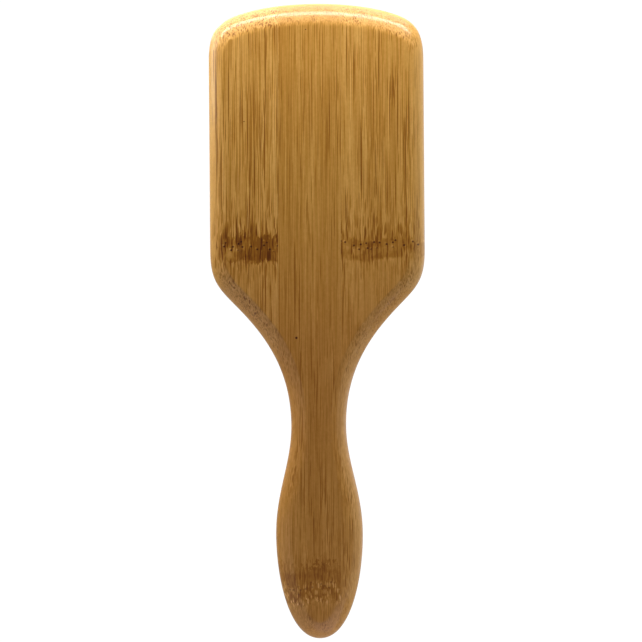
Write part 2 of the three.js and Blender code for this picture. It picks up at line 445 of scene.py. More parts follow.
PIN_SPLAY = math.radians(0.12)  # lean for each millimetre from the middle of the cushion

# (radius, height above the skin) of a collar from its foot in the rubber over its rim to the hole,
# in millimetres.
COLLAR_PROFILE = [
    (0, -0.6),
    (COLLAR_RADIUS_MM, -0.6),
    (COLLAR_RADIUS_MM, 0.05),
    (COLLAR_RADIUS_MM - 0.12, 0.30),
    (COLLAR_RADIUS_MM - 0.40, COLLAR_HEIGHT_MM - 0.08),
    (COLLAR_RADIUS_MM - 0.75, COLLAR_HEIGHT_MM),
    (PIN_HOLE_RADIUS_MM + 0.12, COLLAR_HEIGHT_MM),
    (PIN_HOLE_RADIUS_MM - 0.2, COLLAR_HEIGHT_MM - 0.12),
    (0, COLLAR_HEIGHT_MM - 0.12),
]


def inset_from_rim(x, z):
    """Distance in from the opening's rim to a point on the cushion."""
    across, along = abs(x), abs(z - OPENING_MIDDLE)
    past_corner = across > corner_x and along > corner_z
    if past_corner and math.atan2(across - corner_x, along - corner_z) > end_half_angle:
        return OPENING_CORNER - math.hypot(across - corner_x, along - corner_z)
    from_end = OPENING_END_RADIUS - math.hypot(across, along - end_centre)
    return min(OPENING_HALF_WIDTH - across, from_end)


def dome_height(inset, depth=0.0):
    """Height of the rubber's outer skin, or of its underside where depth is its thickness: flat in
    the middle, rounded down over its shoulder to the rim."""
    share = min(max((inset - FIT_GAP - depth) / DOME_SHOULDER, 0), 1)
    return DOME_TOP - depth - DOME_RISE * (1 - math.sqrt(1 - (1 - share) ** 2))


def pin_joints():
    """{pin: where it passes through the middle of the rubber}."""
    return {j["child"]: Vector(j["pos_m"]) for j in frame["joints"] if j["type"] == "hinge"}


def turned(name, profile, sides):
    """A closed solid of revolution round Y from (radius, height) points; the ends have radius 0."""
    body = profile[1:-1]
    vertices = []
    for radius, height in body:
        for n in range(sides):
            angle = 2 * math.pi * n / sides
            vertices.append((radius * math.cos(angle), height, -radius * math.sin(angle)))
    faces = ring_faces(len(body), sides)
    low, high = len(vertices), len(vertices) + 1
    vertices += [(0, profile[0][1], 0), (0, profile[-1][1], 0)]
    last = (len(body) - 1) * sides
    for n in range(sides):
        after = (n + 1) % sides
        faces.append((low, after, n))
        faces.append((high, last + n, last + after))
    return mesh_object(name, vertices, faces)


def merged(name, objs):
    """One object made of the meshes of several, which go."""
    vertices, faces = [], []
    for obj in objs:
        first = len(vertices)
        vertices += [v.co.copy() for v in obj.data.vertices]
        faces += [tuple(first + v for v in face.vertices) for face in obj.data.polygons]
    discard(*objs)
    return mesh_object(name, vertices, faces)


def pin_place(spot):
    """Where a pin comes out of the rubber, and which way it leans, as a matrix."""
    skin = dome_height(inset_from_rim(spot.x, spot.z))
    along = Matrix.Rotation((spot.z - OPENING_MIDDLE) / MM * PIN_SPLAY, 4, "X")
    across = Matrix.Rotation(-spot.x / MM * PIN_SPLAY, 4, "Z")
    return Matrix.Translation((spot.x, skin, spot.z)) @ along @ across


def cushion_crown(x, z):
    """The dome's flat part rises a little more towards its middle."""
    across = x / OPENING_HALF_WIDTH
    along = (z - OPENING_MIDDLE) / (OPENING_LENGTH / 2)
    return DOME_CROWN * max(0, 1 - across * across) * max(0, 1 - along * along)


def dome_rings(loop, margin, depth, rings):
    """Rings of points from the rim in to the cushion's middle line, which is half as long as the
    cushion, at the height of its skin or, with the rubber's thickness as depth, of its underside."""
    vertices = []
    for ring in range(rings):
        share = DOME_CLOSED * ((ring + 1) / rings) ** DOME_SPACING
        for place, normal in loop:
            edge = place + normal * margin
            x, z = edge.x * (1 - share), edge.y * (1 - share) + place.y / 2 * share
            z += OPENING_MIDDLE
            inset = inset_from_rim(x, z)
            vertices.append((x, dome_height(inset, depth) + cushion_crown(x, z), z))
    return vertices


def ladder(first, count, flipped):
    """Fills a closed ring of points that is symmetric left and right."""
    faces = []
    quarter = count // 4
    for n in range(-quarter, quarter):
        pair = (n % count, (n + 1) % count, (2 * quarter - n - 1) % count, (2 * quarter - n) % count)
        face = tuple(dict.fromkeys(first + v for v in pair))
        faces.append(tuple(reversed(face)) if flipped else face)
    return faces


def make_dome():
    """The rubber moulding without its collars and holes: a hollow dome with its flange."""
    loop = opening_loop(*CUSHION_STEPS)
    count = len(loop)
    flange_top, flange_bottom = GROOVE_HIGH - FIT_GAP, GROOVE_LOW + FIT_GAP
    inside = -FIT_GAP - RUBBER
    shoulder = dome_height(0)
    skin = dome_rings(loop, -FIT_GAP, 0, DOME_RINGS)
    skin = [skin[n : n + count] for n in range(0, len(skin), count)]
    vertices = [v for ring in reversed(skin) for v in ring]
    walls = [
        (-FIT_GAP, shoulder),
        (-FIT_GAP, flange_top),
        (GROOVE_DEPTH - FIT_GAP - FLANGE_ROUNDING, flange_top),
        (GROOVE_DEPTH - FIT_GAP, flange_top - FLANGE_ROUNDING),
        (GROOVE_DEPTH - FIT_GAP, flange_bottom + FLANGE_ROUNDING),
        (GROOVE_DEPTH - FIT_GAP - FLANGE_ROUNDING, flange_bottom),
        (inside, flange_bottom),
        (inside, shoulder - RUBBER),
    ]
    for margin, height in walls:
        vertices += opening_ring(loop, margin, height)
    vertices += dome_rings(loop, inside, RUBBER, UNDERSIDE_RINGS)
    rings = len(vertices) // count
    faces = ring_faces(rings, count)
    faces += ladder(0, count, True)
    faces += ladder((rings - 1) * count, count, False)
    return mesh_object("cushion_rubber", vertices, faces)


def bore(radius, sides, place):
    """A round cutter that goes through the rubber at a place."""
    profile = [(0, -BORE_REACH), (radius, -BORE_REACH), (radius, BORE_REACH), (0, BORE_REACH)]
    cutter = turned("bore", profile, sides)
    cutter.data.transform(place)
    return cutter


def make_cushion(joints):
    """The rubber moulding: the dome with a moulded collar and a hole round each pin, and a vent."""
    cushion = make_dome()
    collars, bores = [], []
    for spot in joints.values():
        place = pin_place(spot)
        rise = cushion_crown(spot.x, spot.z)
        profile = [(radius * MM, height * MM + rise) for radius, height in COLLAR_PROFILE]
        collar = turned("collar", profile, HOLE_SIDES)
        collar.data.transform(place)
        collars.append(collar)
        bores.append(bore(PIN_HOLE_RADIUS_MM * MM, HOLE_SIDES, place))
    vent_x = (joints["pin_r5_c3"].x + joints["pin_r5_c4"].x) / 2
    vent_place = Matrix.Translation((vent_x, DOME_TOP, OPENING_MIDDLE))
    bores.append(bore(VENT_RADIUS, VENT_SIDES, vent_place))
    added, removed = merged("collars", collars), merged("bores", bores)
    carve(cushion, added, "UNION")
    carve(cushion, removed, "DIFFERENCE")
    discard(added, removed)
    finish_edges(cushion, SHARP_RUBBER)
    return cushion


# ---- the pins -----------------------------------------------------------------------------

PIN_SIDES = 24
SHARP_PIN = 45  # the same for a pin
PIN_LENGTH = 18 * MM
PIN_BASE_RADIUS = 1.35 * MM
PIN_NECK_RADIUS = 0.95 * MM
PIN_NECK_LENGTH = 1.5 * MM
PIN_TIP_RADIUS = 1.3 * MM
PIN_TIP_ANGLES = (-38, -26, -13, 0, 13, 26, 38, 50, 62, 73, 83)
PIN_HEAD_RADIUS = 2.3 * MM
PIN_HEAD_THICKNESS = 0.9 * MM
PIN_HEAD_ROUNDING = 0.42 * MM
PIN_HEAD_ANGLES = (-60, -25, 25, 65)
PIN_HEAD_GAP = 0.5 * MM
PIN_TAPER = 1.15  # above 1, the shaft keeps its thickness longer
PIN_TAPER_START = 0.5 * MM
PIN_TAPER_STEPS = 9


def pin_profile(head_top):
    """(radius, height) in metres from the mushroom head to the ball tip; height 0 is the skin."""
    head_bottom = head_top - PIN_HEAD_THICKNESS
    ball = PIN_LENGTH - PIN_TIP_RADIUS
    points = [(0, head_bottom), (PIN_HEAD_RADIUS - 0.4 * MM, head_bottom)]
    for degrees in PIN_HEAD_ANGLES:
        angle = math.radians(degrees)
        middle = (head_bottom + head_top) / 2
        bulge = PIN_HEAD_RADIUS - PIN_HEAD_ROUNDING + PIN_HEAD_ROUNDING * math.cos(angle)
        points.append((bulge, middle + PIN_HEAD_THICKNESS / 2 * math.sin(angle)))
    # A small fillet joins the head to the shaft.
    points.append((PIN_BASE_RADIUS + 0.18 * MM, head_top + 0.1 * MM))
    points.append((PIN_BASE_RADIUS, head_top + 0.4 * MM))
    neck = ball - PIN_NECK_LENGTH
    for n in range(PIN_TAPER_STEPS + 1):
        share = n / PIN_TAPER_STEPS
        radius = PIN_BASE_RADIUS + (PIN_NECK_RADIUS - PIN_BASE_RADIUS) * share**PIN_TAPER
        points.append((radius, PIN_TAPER_START + (neck - PIN_TAPER_START) * share))
    # The neck flares slightly before the ball.
    points.append((PIN_NECK_RADIUS + 0.02 * MM, neck + 0.35 * MM))
    for degrees in PIN_TIP_ANGLES:
        angle = math.radians(degrees)
        points.append((PIN_TIP_RADIUS * math.cos(angle), ball + PIN_TIP_RADIUS * math.sin(angle)))
    points.append((0, PIN_LENGTH))
    return points


def make_pins(joints):
    """The pins, as {CAD node: object}. Each one's head hangs just clear of the underside."""
    pins = {}
    for name, spot in joints.items():
        inset = inset_from_rim(spot.x, spot.z)
        skin = dome_height(inset)
        underside = dome_height(inset - PIN_HEAD_RADIUS, RUBBER)
        pin = turned(f"{name}_bamboo", pin_profile(underside - PIN_HEAD_GAP - skin), PIN_SIDES)
        pin.data.transform(pin_place(spot))
        finish_edges(pin, SHARP_PIN)
        pins[name] = pin
    return pins


# ---- materials ----------------------------------------------------------------------------


class Shader:
    """One node material, with a short call for each kind of node."""

    def __init__(self, name):
        self.material = bpy.data.materials.new(name)
        self.material.use_nodes = True
        self.tree = self.material.node_tree
        self.tree.nodes.clear()

    def feed(self, socket, value):
        """Links a value from another node, or sets a constant."""
        if isinstance(value, bpy.types.NodeSocket):
            self.tree.links.new(value, socket)
        else:
            socket.default_value = value

    def node(self, kind, inputs=None, **settings):
        """A new node with its settings and what goes into it."""
        made = self.tree.nodes.new(kind)
        for key, value in settings.items():
            setattr(made, key, value)
        for key, value in (inputs or {}).items():
            self.feed(made.inputs[key], value)
        return made

    def math(self, operation, *values):
        return self.node("ShaderNodeMath", dict(enumerate(values)), operation=operation).outputs[0]

    def add(self, a, b):
        return self.math("ADD", a, b)

    def times(self, a, b):
        return self.math("MULTIPLY", a, b)

    def less(self, a, b):
        return self.math("SUBTRACT", a, b)

    def object_mm(self, skew=0.0):
        """The point on the piece in millimetres, turned so that its Z runs along the grain."""
        place = self.node("ShaderNodeTexCoord").outputs["Object"]
        inputs = {"Vector": place, "Rotation": (0, skew, 0), "Scale": (1 / MM,) * 3}
        return self.node("ShaderNodeMapping", inputs).outputs[0]

    def facing(self):
        """1 on the broad faces, which point along Y, and 0 on the sides."""
        normal = self.node("ShaderNodeTexCoord").outputs["Normal"]
        return self.math("ABSOLUTE", self.parts(normal)[1])

    def parts(self, vector):
        return self.node("ShaderNodeSeparateXYZ", {0: vector}).outputs

    def point(self, x, y, z):
        return self.node("ShaderNodeCombineXYZ", {0: x, 1: y, 2: z}).outputs[0]

    def stretched(self, vector, size, offset=(0, 0, 0)):
        """The vector measured in units of size, a length on each axis."""
        scale = tuple(1 / length for length in size)
        inputs = {0: vector, 1: scale, 2: offset}
        return self.node("ShaderNodeVectorMath", inputs, operation="MULTIPLY_ADD").outputs[0]

    def noise(self, vector, size, seed, detail=2.0):
        """Noise from about 0.25 to 0.75 whose features are about size across."""
        place = self.stretched(vector, size, (seed * 7.3, seed * 3.1, seed * 5.7))
        inputs = {"Vector": place, "Scale": 1.0, "Detail": detail, "Roughness": 0.5}
        return self.node("ShaderNodeTexNoise", inputs).outputs["Fac"]

    def drift(self, vector, size, low, high, seed, detail=2.0, span=0.2):
        """Noise that goes from low to high, which it reaches when it is span off its middle."""
        return self.line(self.noise(vector, size, seed, detail), 0.5 - span, 0.5 + span, low, high)

    def cells(self, vector, size, seed):
        """Distance to the nearest of a scatter of points about size apart, in units of size."""
        place = self.stretched(vector, size, (seed * 5.9, seed * 2.7, seed * 8.1))
        inputs = {"Vector": place, "Scale": 1.0, "Randomness": 1.0}
        return self.node("ShaderNodeTexVoronoi", inputs, feature="F1").outputs["Distance"]

    def spots(self, across, along, size, seed):
        """Distance to the nearest of a scatter of points on a plane, in units of size."""
        place = self.stretched(self.point(across, along, 0.0), (size,) * 3, (seed * 5.9, seed * 2.7, 0))
        inputs = {"Vector": place, "Scale": 1.0, "Randomness": 0.9}
        settings = {"feature": "F1", "voronoi_dimensions": "2D"}
        return self.node("ShaderNodeTexVoronoi", inputs, **settings).outputs["Distance"]

    def line(self, value, low, high, to_low=0.0, to_high=1.0, kind="LINEAR"):
        """From to_low to to_high as value goes from low to high, and constant beyond."""
        inputs = {"Value": value, "From Min": low, "From Max": high, "To Min": to_low, "To Max": to_high}
        settings = {"interpolation_type": kind, "clamp": True}
        return self.node("ShaderNodeMapRange", inputs, **settings).outputs[0]

    def step(self, value, low, high, to_low=0.0, to_high=1.0):
        """The same with a smooth start and end."""
        return self.line(value, low, high, to_low, to_high, "SMOOTHSTEP")

    def between(self, value, starts, full, thins, ends):
        """A smooth rise from 0 to 1 and a smooth fall back to 0."""
        return self.times(self.step(value, starts, full), self.step(value, ends, thins))

    def blend(self, factor, a, b, mode="MIX"):
        """Mixes two colours, by the sockets that the node keeps for colours."""
        made = self.node("ShaderNodeMix", data_type="RGBA", blend_type=mode)
        self.feed(made.inputs[0], factor)
        self.feed(made.inputs[6], a)
        self.feed(made.inputs[7], b)
        return made.outputs[2]

    def bump(self, height, strength, distance):
        inputs = {"Height": height, "Strength": strength, "Distance": distance}
        return self.node("ShaderNodeBump", inputs).outputs[0]

    def surface(self, **inputs):
        """Ends in the Principled shader; in a socket's name _ stands for a space."""
        shader = self.node("ShaderNodeBsdfPrincipled")
        for key, value in inputs.items():
            self.feed(shader.inputs[key.replace("_", " ")], value)
        output = self.node("ShaderNodeOutputMaterial")
        self.tree.links.new(shader.outputs[0], output.inputs["Surface"])
        return self.material


# Bamboo. Its places and lengths are in millimetres.
BAMBOO_GROUND = (0.615, 0.30, 0.054, 1)
BAMBOO_HANDLE_DARK_AND_SHADE = (0.545, 0.237, 0.044, 1)  # darker towards the handle; the extra darkness at the waist is painted shade
BAMBOO_PORE = (0.16, 0.07, 0.05, 1)
HANDLE_DARK_BETWEEN = (150, 60)  # the heights where the darkening starts and where it is full
GRIP_SHARE_OF_WAIST_SHADE = 0.75  # how dark the grip is, where the waist with its painted shade is 1
WAIST_SHADE_BETWEEN = (5, 50)  # the heights between which it goes from the grip's darkness to the waist's full painted shade
HANDLE_DARK_CONTRAST = 0.72  # how much of the streaks shows where the wood is darkened towards the handle
REDDER = (1.0, 1.45, 2.9)  # powers on red, green and blue: bamboo's darker parts are redder too
STREAK_DEPTH = 0.60  # how much darker a fibre bundle is than the ground between
SIDE_CONTRAST = 0.13  # how much of the streaks shows on the board's sides
FACE_BETWEEN = (0.45, 0.85)  # where on the way from side, 0, to face, 1, they come to show
SCAR_DEPTH = 0.52  # how much darker a node's scar is
PALE_GAIN = 0.55  # how much paler its tongues are
RELIEF_DEPTH = 0.00008  # in metres
NODE_REACH = 22  # how far above and below a node its fibre bundles are short
NODE_CROWDING = 22  # how much longer the way along them is made on each side of it
NODE_SPREAD = 130  # the square of how far from it the fibres feel it
NODE_TWIST = 1.1  # how far it turns them aside
WANDER = 0.9  # how far they wander elsewhere
HANDLE_TOP = 75  # the height where the handle's shorter bundles start
HANDLE_CROWDING = 60  # like NODE_CROWDING, for the whole handle

# The kinds of fibre bundle: thickness, length as a share of the strip's fibre_length, where its edge
# starts and where it is full, as distances in thicknesses, and what it adds to the seed.
BUNDLES = {
    "long": (0.70, 1.5, 0.36, 0.27, 0),
    "short": (0.56, 0.5, 0.35, 0.24, 1),
    "fine": (0.50, 1.4, 0.38, 0.24, 3),
    "thick": (1.05, 0.55, 0.42, 0.26, 2),
}

# A node's scar: heights are measured from its row of pores.
SCAR_WAVE = 7.0  # how far that row wanders up and down
SCAR_END = 0.4  # softness of the scar's ends across the strip
SCAR_CORE = 110  # the square of how far its darkest place reaches
FLAME_PITCH = 1.25
FLAME_TAPER = (0.66, 0.05)  # half its thickness at its foot and at its tip, in pitches
FLAME_REACH = (6.0, 16.0)  # how high the shortest and the longest go
BAND_FOOT = (-6.8, -5.2)  # where the dark band starts and where it is full
BAND_SOFTNESS = 0.9  # of its top
PORE_ROW = (-2.2, -1.5, 1.2, 1.9)  # where the row starts, is full, thins out and ends
PORE_PITCH = 2.5
PORE_SIZE = (0.20, 0.12)  # where a pore starts and where it is full, as distances in pitches
FLECK_SIZE = (0.22, 0.11)  # the same for the pale fleck beside each pore
FLECK_SHIFT = (0.45, 0.5)  # how far to the left of its pore the fleck is, and how far above
TONGUES = (-9.0, -5.0, 0.0, 3.0)  # like PORE_ROW, for the pale tongues

# What tells the strips apart: the grain's random seed, the length of its fibre bundles, how dark
# they are, its tone, its nodes and its specks, as bamboo() takes them.
STRIP_LOOKS = {
    "back_strip_left": {
        "seed": 1.0,
        "nodes": [dict(height=112.6, strength=1.0, pale=0.2, from_x=-39.8, to_x=0, core_x=-22, rise=4)],
        "fibre_length": 38,
        "contrast": 1.3,
        "tone": 1.12,
        "specks": [(-29.5, 162, 0.3)],
    },
    "back_strip_centre": {
        "seed": 2.0,
        "nodes": [dict(height=-19.5, strength=0.62, pale=1.0, from_x=-40, to_x=40, core_x=-2, rise=8)],
        "fibre_length": 38,
        "contrast": 0.8,
        "tone": 1.0,
        "specks": [(-9.0, 77.4, 0.62), (-5.4, 198, 0.3)],
    },
    "back_strip_right": {
        "seed": 3.0,
        "nodes": [dict(height=114.6, strength=0.7, pale=0.2, from_x=0, to_x=50, core_x=22, rise=2)],
        "fibre_length": 34,
        "contrast": 0.95,
        "tone": 1.09,
    },
    "front_strip_left": {
        "seed": 4.0,
        "nodes": [dict(height=168, strength=0.7, pale=0.3, from_x=-50, to_x=0, core_x=-20, rise=3)],
        "contrast": 1.0,
    },
    "front_strip_centre": {
        "seed": 5.0,
        "nodes": [dict(height=-8, strength=0.5, pale=0.5, from_x=-50, to_x=50, core_x=5, rise=5)],
        "contrast": 0.8,
    },
    "front_strip_right": {
        "seed": 6.0,
        "nodes": [dict(height=84, strength=0.7, pale=0.3, from_x=0, to_x=50, core_x=20, rise=3)],
        "contrast": 1.0,
    },
}


def fibre_space(s, grain, seed, nodes):
    """Coordinates that follow the fibre bundles, and how near a node is. There the bundles
    shorten, thicken and wander."""
    x, y, z = s.parts(grain)
    wander = s.times(s.less(s.noise(grain, (9, 9, 60), seed, 1.0), 0.5), WANDER)
    along = s.add(z, s.line(z, TIP / MM, HANDLE_TOP, -HANDLE_CROWDING, 0))
    near = 0.0
    for node in nodes:
        away = s.less(z, node["height"])
        close = s.math("EXPONENT", s.times(s.times(away, away), -1 / NODE_SPREAD))
        along = s.add(along, s.step(away, -NODE_REACH, NODE_REACH, -NODE_CROWDING, NODE_CROWDING))
        twist = s.less(s.noise(grain, (2.2, 2.2, 6), seed + 4, 1.0), 0.5)
        wander = s.add(wander, s.times(s.times(twist, close), NODE_TWIST))
        near = s.add(near, close)
    return s.point(s.add(x, wander), y, along), near


def fibre_streaks(s, grain, fibres, near, seed, length):
    """The dark bundles: long and short ones, fine ones between, and thick ones near a node."""
    bundles = {}
    for kind, (thickness, share, edge, core, more) in BUNDLES.items():
        distance = s.cells(fibres, (thickness, thickness, length * share), seed + more)
        bundles[kind] = s.step(distance, edge, core)
    patches = s.line(s.noise(grain, (3.0, 3.0, 30), seed + 4), 0.36, 0.62, 0.25, 1.0)
    streaks = s.math("MAXIMUM", bundles["long"], s.times(bundles["short"], 0.75))
    streaks = s.math("MAXIMUM", s.times(streaks, patches), s.times(bundles["fine"], 0.42))
    return s.math("MAXIMUM", streaks, s.times(bundles["thick"], s.line(near, 0.1, 0.9, 0.0, 0.9)))


def node_scar(s, grain, fibres, seed, node):
    """How dark and how pale a node makes each point, and where its pores are: flames run up the
    fibres and thin out, over a ragged band, with a wavy row of pores and pale tongues below."""
    strength, from_x, to_x = node["strength"], node["from_x"], node["to_x"]
    x, _, z = s.parts(grain)
    wave = s.times(s.less(s.noise(grain, (8, 8, 400), seed, 1.0), 0.5), SCAR_WAVE)
    away = s.add(s.less(z, node["height"]), wave)
    inside = s.between(x, from_x - SCAR_END, from_x + SCAR_END, to_x - SCAR_END, to_x + SCAR_END)
    from_core = s.less(x, node["core_x"])
    core = s.math("EXPONENT", s.times(s.times(from_core, from_core), -1 / SCAR_CORE))

    flame = s.spots(s.parts(fibres)[0], s.times(away, 0.05), FLAME_PITCH, seed + 1)
    reach = s.drift(grain, (1.4, 1.4, 300), *FLAME_REACH, seed + 2, 1.0)
    taper = s.line(s.math("DIVIDE", away, reach), 0.0, 1.0, *FLAME_TAPER)
    flames = s.times(s.step(s.less(flame, taper), 0.06, -0.12), s.step(away, -2.0, 0.0))
    rise = node["rise"]
    ragged = s.drift(fibres, (1.0, 1.0, 5), -rise / 2, rise / 2, seed + 3)
    top = s.step(s.add(away, ragged), rise + BAND_SOFTNESS, rise - BAND_SOFTNESS)
    foot = s.step(s.add(away, s.times(ragged, 0.6)), *BAND_FOOT)
    patchy = s.line(s.noise(grain, (5, 5, 4), seed + 4), 0.36, 0.58, 0.3, 1.0)
    patchy = s.math("MAXIMUM", patchy, s.times(core, strength))
    band = s.times(s.times(top, foot), patchy)
    dark = s.math("MAXIMUM", s.times(flames, 0.75), band)
    dark = s.times(s.times(dark, s.line(core, 0.0, 1.0, 0.62, 1.0)), s.times(inside, strength))

    on_row = s.times(s.between(away, *PORE_ROW), inside)
    pore = s.times(s.step(s.spots(x, z, PORE_PITCH, seed + 5), *PORE_SIZE), on_row)
    left, above = FLECK_SHIFT
    fleck = s.spots(s.add(x, left), s.less(z, above), PORE_PITCH, seed + 5)
    flecks = s.times(s.times(s.step(fleck, *FLECK_SIZE), on_row), 0.7 * strength)
    tongues = s.step(s.cells(fibres, (0.9, 0.9, 8), seed + 6), 0.52, 0.32)
    tongues = s.times(tongues, s.between(away, *TONGUES))
    pale = s.math("MAXIMUM", flecks, s.times(tongues, s.times(inside, node["pale"])))
    return dark, pale, s.times(pore, min(1.0, 1.5 * strength) * (1 - 0.55 * node["pale"]))


def bamboo(name, seed, nodes=(), fibre_length=36, contrast=1.0, tone=1.0, specks=()):
    """Laminated bamboo seen on its face: dark fibre bundles in a pale ground, which show as streaks
    along the grain and as dots on the end grain, and the scars of its nodes.

    A node has its height, how dark and how pale it is, where across the strip it starts, ends and
    is darkest, and how far its band rises above its pores. A speck is (x, z, radius). All lengths
    are in millimetres.
    """
    s = Shader(name)
    grain = s.object_mm(-GRAIN_SKEW)
    x, _, z = s.parts(grain)
    fibres, near = fibre_space(s, grain, seed, nodes)
    # Darker towards the handle and darkest at the waist, where the extra darkness is painted shade.
    handle_dark_and_shade = s.times(s.step(z, *HANDLE_DARK_BETWEEN), s.step(z, *WAIST_SHADE_BETWEEN, GRIP_SHARE_OF_WAIST_SHADE, 1))
    facing = s.facing()
    face = s.step(facing, *FACE_BETWEEN, SIDE_CONTRAST, 1.0)
    face = s.times(face, s.line(handle_dark_and_shade, 0, 1, 1, HANDLE_DARK_CONTRAST))
    streaks = fibre_streaks(s, grain, fibres, near, seed, fibre_length)
    streaks = s.times(streaks, s.times(face, contrast))

    # Broad stripes of tone along the grain, hair-fine lines, a soft mottle, and on the sides the
    # figure that the cut fibres give.
    stripes = s.drift(grain, (2.4, 2.4, 120), 0.91, 1.08, seed + 5, 3.0)
    hairs = s.drift(fibres, (0.34, 0.34, 44), 0.82, 1.17, seed + 6, span=0.25)
    mottle = s.drift(grain, (0.9, 0.9, 1.3), 0.95, 1.05, seed + 7, 3.0, span=0.25)
    lines = s.add(1.0, s.times(s.less(s.times(stripes, hairs), 1.0), face))
    figure = s.drift(grain, (1.6, 1.6, 2.4), -0.09, 0.09, seed + 10)
    figure = s.times(figure, s.line(handle_dark_and_shade, 0, 1, 0.3, 1))
    mottle = s.add(mottle, s.times(figure, s.less(1.0, face)))
    shade = s.times(lines, s.times(mottle, tone))
    shade = s.times(shade, s.line(streaks, 0, 1, 1, 1 - STREAK_DEPTH))
    pores = 0.0
    for number, node in enumerate(nodes):
        dark, pale, pore = node_scar(s, grain, fibres, seed + 10 * (number + 1), node)
        shade = s.times(shade, s.line(dark, 0, 1, 1, 1 - SCAR_DEPTH))
        shade = s.times(shade, s.line(pale, 0, 1, 1, 1 + PALE_GAIN))
        pores = s.add(pores, s.times(pore, s.step(facing, 0.3, 0.6)))
    for speck_x, speck_z, radius in specks:
        off = s.point(s.less(x, speck_x), 0.0, s.less(z, speck_z))
        distance = s.node("ShaderNodeVectorMath", {0: off}, operation="LENGTH").outputs["Value"]
        pores = s.add(pores, s.step(distance, radius, radius * 0.5))
    tint = s.point(*(s.math("POWER", shade, power) for power in REDDER))
    # The darkening towards the handle, with the painted shade at the waist, goes into the colour here.
    colour = s.blend(1.0, s.blend(handle_dark_and_shade, BAMBOO_GROUND, BAMBOO_HANDLE_DARK_AND_SHADE), tint, "MULTIPLY")
    colour = s.blend(pores, colour, s.blend(1.0, colour, BAMBOO_PORE, "MULTIPLY"))

    relief = s.less(s.times(streaks, -0.35), s.math("MINIMUM", pores, 1.0))
    relief = s.add(relief, s.times(s.noise(grain, (3, 3, 3), seed + 8), 0.35))
    roughness = s.drift(grain, (4, 4, 9), 0.42, 0.52, seed + 9, 3.0)
    roughness = s.add(roughness, s.times(streaks, 0.05))
    return s.surface(
        Base_Color=colour,
        Roughness=roughness,
        Normal=s.bump(relief, 0.3, RELIEF_DEPTH),
        Specular_IOR_Level=0.25,
        Coat_Weight=0.3,
        Coat_Roughness=0.14,
    )


# Rubber and pins. Sizes are in millimetres here too.
RUBBER_DARK = (0.012, 0.0115, 0.011, 1)
RUBBER_DUSTY = (0.021, 0.020, 0.019, 1)
PEBBLE_DEPTH = 0.00006  # in metres
PIN_GROUND = (0.62, 0.385, 0.150, 1)
PIN_FIBRE = (0.62, 0.47, 0.32, 1)  # darkens the ground
PIN_FIBRE_DEPTH = 0.00004  # in metres


def rubber():
    """Matt black moulded rubber with a fine grain and a little dust-grey variation."""
    s = Shader("rubber_cushion")
    place = s.object_mm()
    dust = s.drift(place, (9, 9, 9), 0.0, 1.0, 1.0, 4.0)
    pebble = s.noise(place, (0.35, 0.35, 0.35), 2.0, 3.0)
    return s.surface(
        Base_Color=s.blend(dust, RUBBER_DARK, RUBBER_DUSTY),
        Roughness=s.drift(place, (5, 5, 5), 0.50, 0.64, 3.0, 3.0),
        Normal=s.bump(pebble, 0.25, PEBBLE_DEPTH),
        Sheen_Weight=0.05,
    )


def pin_bamboo():
    """Polished bamboo pins: fine fibres along each pin, and a tone of its own for each."""
    s = Shader("pin_bamboo")
    place = s.object_mm()
    fibre = s.step(s.cells(place, (0.42, 9.0, 0.42), 3.0), 0.48, 0.2)
    own = s.drift(place, (7.0, 300.0, 7.0), 0.78, 1.14, 5.0, 1.0, span=0.15)
    hairs = s.drift(place, (0.18, 5.0, 0.18), 0.9, 1.1, 6.0, span=0.25)
    shade = s.times(own, hairs)
    ground = s.blend(1.0, PIN_GROUND, s.point(shade, shade, shade), "MULTIPLY")
    dark = s.blend(1.0, ground, PIN_FIBRE, "MULTIPLY")
    return s.surface(
        Base_Color=s.blend(s.times(fibre, 0.75), ground, dark),
        Roughness=s.drift(place, (1.5, 4, 1.5), 0.34, 0.46, 8.0),
        Normal=s.bump(fibre, -0.2, PIN_FIBRE_DEPTH),
        Coat_Weight=0.25,
        Coat_Roughness=0.2,
    )


# ---- the pieces ---------------------------------------------------------------------------


def place_piece(piece, body, node, material):
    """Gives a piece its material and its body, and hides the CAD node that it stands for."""
    piece.data.materials.clear()
    piece.data.materials.append(material)
    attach(piece, body)
    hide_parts(node)


joints = pin_joints()

for node, strip in make_paddle().items():
    place_piece(strip, "paddle", node, bamboo(node, **STRIP_LOOKS[node]))

cushion = make_cushion(joints)
place_piece(cushion, "paddle", "cushion", rubber())
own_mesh(cushion)

pin_material = pin_bamboo()
for node, pin in make_pins(joints).items():
    place_piece(pin, node, node, pin_material)


# ---- stage, light and camera --------------------------------------------------------------

WORLD_STRENGTH = 0.03  # of the light on the brush
BACKGROUND_STRENGTH = 1.05  # of what the camera sees
FLOOR_HEIGHT = -0.6
FLOOR_RADIUS = 1.5
FLOOR_SIDES = 96
FLOOR_GLOW = 1.0
CAMERA_DISTANCE = 0.9
CAMERA_LENS = 128
CAMERA_SENSOR = 36
CAMERA_ROLL = math.radians(-0.41)
VIEW_SHIFT = 0.0012  # the brush stands a little left of the picture's middle
VIEW_MIDDLE = Vector((VIEW_SHIFT, 0, (CROWN + TIP) / 2))

